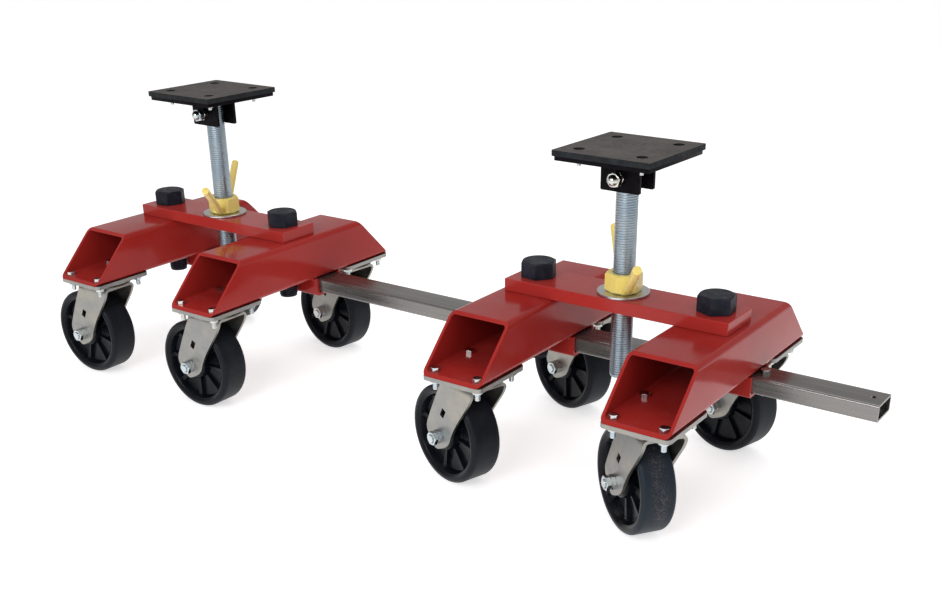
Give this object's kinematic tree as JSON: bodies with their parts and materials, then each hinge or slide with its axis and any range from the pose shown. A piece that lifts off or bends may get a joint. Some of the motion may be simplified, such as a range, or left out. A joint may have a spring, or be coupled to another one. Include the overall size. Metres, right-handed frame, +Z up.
{
  "type": "screw-jack carriage dolly on casters",
  "caption": "Adjustable dolly: red screw-jack carriages on swivel casters, joined by a flat steel rail, each with a tilting rubber-faced saddle raised by a yellow jack nut.",
  "frame": {"origin": "on the floor, half way between the two carriages and level with the middle of their beams", "axes": "+X along the rail from the left carriage to the right one, +Y to the back along the beams (the rail runs behind the jack rods), +Z up"},
  "size_m": [1.56, 0.4466, 0.4992],
  "materials": {
    "red_paint": "gloss",
    "black_paint": "satin",
    "yellow_paint": "gloss",
    "black_oxide": "satin",
    "zinc_plate": "satin",
    "caster_zinc": "satin",
    "rail_steel": "brushed",
    "pad_rubber": "matte",
    "black_resin": "satin"
  },
  "bodies": {
    "rail": {"rail": "rail_steel", "keeper_bolts": "zinc_plate"},
    "left_carriage": {"left_left_beam": "red_paint", "left_right_beam": "red_paint", "left_rail_channels": "red_paint", "left_crossbar": "red_paint", "left_crossbar_bolts": "black_oxide", "left_washer": "zinc_plate", "left_caster_fasteners": "zinc_plate", "left_caster_front_left_plate": "caster_zinc", "left_caster_front_right_plate": "caster_zinc", "left_caster_rear_left_plate": "caster_zinc", "left_caster_rear_right_plate": "caster_zinc"},
    "left_jack_rod": {"left_jack_rod": "zinc_plate"},
    "left_jack_nut": {"left_jack_nut": "yellow_paint"},
    "left_saddle": {"left_saddle": "black_paint", "left_pad": "pad_rubber", "left_pad_screws": "zinc_plate", "left_pivot_bolt": "zinc_plate"},
    "left_caster_front_left_fork": {"left_caster_front_left_fork": "caster_zinc", "left_caster_front_left_axle": "zinc_plate"},
    "left_caster_front_left_wheel": {"left_caster_front_left_wheel": "black_resin"},
    "left_caster_front_right_fork": {"left_caster_front_right_fork": "caster_zinc", "left_caster_front_right_axle": "zinc_plate"},
    "left_caster_front_right_wheel": {"left_caster_front_right_wheel": "black_resin"},
    "left_caster_rear_left_fork": {"left_caster_rear_left_fork": "caster_zinc", "left_caster_rear_left_axle": "zinc_plate"},
    "left_caster_rear_left_wheel": {"left_caster_rear_left_wheel": "black_resin"},
    "left_caster_rear_right_fork": {"left_caster_rear_right_fork": "caster_zinc", "left_caster_rear_right_axle": "zinc_plate"},
    "left_caster_rear_right_wheel": {"left_caster_rear_right_wheel": "black_resin"},
    "right_carriage": {"right_left_beam": "red_paint", "right_right_beam": "red_paint", "right_rail_channels": "red_paint", "right_crossbar": "red_paint", "right_crossbar_bolts": "black_oxide", "right_washer": "zinc_plate", "right_caster_fasteners": "zinc_plate", "right_caster_front_left_plate": "caster_zinc", "right_caster_front_right_plate": "caster_zinc", "right_caster_rear_left_plate": "caster_zinc", "right_caster_rear_right_plate": "caster_zinc"},
    "right_jack_rod": {"right_jack_rod": "zinc_plate"},
    "right_jack_nut": {"right_jack_nut": "yellow_paint"},
    "right_saddle": {"right_saddle": "black_paint", "right_pad": "pad_rubber", "right_pad_screws": "zinc_plate", "right_pivot_bolt": "zinc_plate"},
    "right_caster_front_left_fork": {"right_caster_front_left_fork": "caster_zinc", "right_caster_front_left_axle": "zinc_plate"},
    "right_caster_front_left_wheel": {"right_caster_front_left_wheel": "black_resin"},
    "right_caster_front_right_fork": {"right_caster_front_right_fork": "caster_zinc", "right_caster_front_right_axle": "zinc_plate"},
    "right_caster_front_right_wheel": {"right_caster_front_right_wheel": "black_resin"},
    "right_caster_rear_left_fork": {"right_caster_rear_left_fork": "caster_zinc", "right_caster_rear_left_axle": "zinc_plate"},
    "right_caster_rear_left_wheel": {"right_caster_rear_left_wheel": "black_resin"},
    "right_caster_rear_right_fork": {"right_caster_rear_right_fork": "caster_zinc", "right_caster_rear_right_axle": "zinc_plate"},
    "right_caster_rear_right_wheel": {"right_caster_rear_right_wheel": "black_resin"}
  },
  "joints": [
    {"name": "left_carriage_slide", "type": "slide", "parent": "rail", "child": "left_carriage", "axis": [1, 0, 0], "range_m": [0, 0.13]},
    {"name": "left_jack_lift", "type": "slide", "parent": "left_carriage", "child": "left_jack_rod", "axis": [0, 0, 1], "range_m": [-0.09, 0.09]},
    {"name": "left_jack_turn", "type": "hinge", "parent": "left_carriage", "child": "left_jack_nut", "pos_m": [-0.408, 0.0042, 0.2997], "axis": [0, 0, 1], "range_deg": [-8930, 8930]},
    {"name": "left_saddle_tilt", "type": "hinge", "parent": "left_jack_rod", "child": "left_saddle", "pos_m": [-0.408, 0.0042, 0.4606], "axis": [0.0332, 0.9995, 0], "range_deg": [-20, 20]},
    {"name": "left_caster_front_left_swivel", "type": "hinge", "parent": "left_carriage", "child": "left_caster_front_left_fork", "pos_m": [-0.5522, -0.16435, 0.1725], "axis": [0, 0, 1], "continuous": true},
    {"name": "left_caster_front_left_roll", "type": "hinge", "parent": "left_caster_front_left_fork", "child": "left_caster_front_left_wheel", "pos_m": [-0.59698, -0.16552, 0.0762], "axis": [0.0262, -0.9997, 0], "continuous": true},
    {"name": "left_caster_front_right_swivel", "type": "hinge", "parent": "left_carriage", "child": "left_caster_front_right_fork", "pos_m": [-0.2638, -0.16435, 0.1725], "axis": [0, 0, 1], "continuous": true},
    {"name": "left_caster_front_right_roll", "type": "hinge", "parent": "left_caster_front_right_fork", "child": "left_caster_front_right_wheel", "pos_m": [-0.3086, -0.16474, 0.0762], "axis": [0.0087, -1, 0], "continuous": true},
    {"name": "left_caster_rear_left_swivel", "type": "hinge", "parent": "left_carriage", "child": "left_caster_rear_left_fork", "pos_m": [-0.5522, 0.16435, 0.1725], "axis": [0, 0, 1], "continuous": true},
    {"name": "left_caster_rear_left_roll", "type": "hinge", "parent": "left_caster_rear_left_fork", "child": "left_caster_rear_left_wheel", "pos_m": [-0.59656, 0.17058, 0.0762], "axis": [-0.1392, -0.9903, 0], "continuous": true},
    {"name": "left_caster_rear_right_swivel", "type": "hinge", "parent": "left_carriage", "child": "left_caster_rear_right_fork", "pos_m": [-0.2638, 0.16435, 0.1725], "axis": [0, 0, 1], "continuous": true},
    {"name": "left_caster_rear_right_roll", "type": "hinge", "parent": "left_caster_rear_right_fork", "child": "left_caster_rear_right_wheel", "pos_m": [-0.30833, 0.16927, 0.0762], "axis": [-0.1097, -0.994, 0], "continuous": true},
    {"name": "right_carriage_slide", "type": "slide", "parent": "rail", "child": "right_carriage", "axis": [1, 0, 0], "range_m": [-0.13, 0]},
    {"name": "right_jack_lift", "type": "slide", "parent": "right_carriage", "child": "right_jack_rod", "axis": [0, 0, 1], "range_m": [-0.08, 0.1]},
    {"name": "right_jack_turn", "type": "hinge", "parent": "right_carriage", "child": "right_jack_nut", "pos_m": [0.408, 0.0042, 0.2997], "axis": [0, 0, 1], "range_deg": [-9930, 7940]},
    {"name": "right_saddle_tilt", "type": "hinge", "parent": "right_jack_rod", "child": "right_saddle", "pos_m": [0.408, 0.0042, 0.4506], "axis": [0.0332, 0.9995, 0], "range_deg": [-20, 20]},
    {"name": "right_caster_front_left_swivel", "type": "hinge", "parent": "right_carriage", "child": "right_caster_front_left_fork", "pos_m": [0.2638, -0.16435, 0.1725], "axis": [0, 0, 1], "continuous": true},
    {"name": "right_caster_front_left_roll", "type": "hinge", "parent": "right_caster_front_left_fork", "child": "right_caster_front_left_wheel", "pos_m": [0.22078, -0.15185, 0.0762], "axis": [-0.279, -0.9603, 0], "continuous": true},
    {"name": "right_caster_front_right_swivel", "type": "hinge", "parent": "right_carriage", "child": "right_caster_front_right_fork", "pos_m": [0.5522, -0.16435, 0.1725], "axis": [0, 0, 1], "continuous": true},
    {"name": "right_caster_front_right_roll", "type": "hinge", "parent": "right_caster_front_right_fork", "child": "right_caster_front_right_wheel", "pos_m": [0.51582, -0.13821, 0.0762], "axis": [-0.5835, -0.8121, 0], "continuous": true},
    {"name": "right_caster_rear_left_swivel", "type": "hinge", "parent": "right_carriage", "child": "right_caster_rear_left_fork", "pos_m": [0.2638, 0.16435, 0.1725], "axis": [0, 0, 1], "continuous": true},
    {"name": "right_caster_rear_left_roll", "type": "hinge", "parent": "right_caster_rear_left_fork", "child": "right_caster_rear_left_wheel", "pos_m": [0.22134, 0.17864, 0.0762], "axis": [-0.319, -0.9478, 0], "continuous": true},
    {"name": "right_caster_rear_right_swivel", "type": "hinge", "parent": "right_carriage", "child": "right_caster_rear_right_fork", "pos_m": [0.5522, 0.16435, 0.1725], "axis": [0, 0, 1], "continuous": true},
    {"name": "right_caster_rear_right_roll", "type": "hinge", "parent": "right_caster_rear_right_fork", "child": "right_caster_rear_right_wheel", "pos_m": [0.50893, 0.17594, 0.0762], "axis": [-0.2588, -0.9659, 0], "continuous": true}
  ],
  "couplings": [
    {"joint": "left_jack_turn", "follows": "left_jack_lift", "rad_per_m": -1731.6},
    {"joint": "right_jack_turn", "follows": "right_jack_lift", "rad_per_m": -1731.6}
  ]
}
